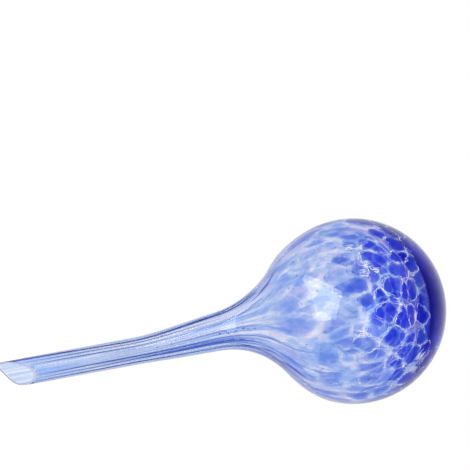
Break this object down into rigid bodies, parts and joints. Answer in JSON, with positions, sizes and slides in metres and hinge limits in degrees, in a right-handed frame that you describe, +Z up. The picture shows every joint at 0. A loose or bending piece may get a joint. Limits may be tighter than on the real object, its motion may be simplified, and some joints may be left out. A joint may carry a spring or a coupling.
{
  "type": "watering globe",
  "caption": "Hollow blown glass globe with cobalt blue chips cased in its clear wall, drawn out into a long tapered stem with a slanted open mouth.",
  "frame": {"origin": "on the axis of the stem at the soil line, the top of the straight stretch of stem that is pushed into the soil", "axes": "+Z up along the stem's axis, from the mouth to the bulb's crown; +Y towards the longest side of the slanted mouth; +X completes the frame"},
  "size_m": [0.08, 0.08, 0.196],
  "materials": {
    "clear_glass": "clear soda-lime glass, hand-blown, fire-polished",
    "cobalt_glass": "deep cobalt frit, melted, cased in clear glass",
    "blue_glass": "cobalt frit thinned by blowing, cased in clear glass",
    "pale_glass": "cobalt frit drawn thin and pale, cased in clear glass",
    "streak_glass": "cobalt frit drawn out to streaks, cased in clear glass",
    "line_glass": "cobalt frit drawn out to fine lines, cased in clear glass"
  },
  "bodies": {
    "root": {"glass_body": "clear_glass", "crown_chips": "cobalt_glass", "belt_chips": "blue_glass", "drawn_patches": "pale_glass", "neck_streaks": "streak_glass", "stem_streaks": "line_glass"}
  },
  "joints": []
}
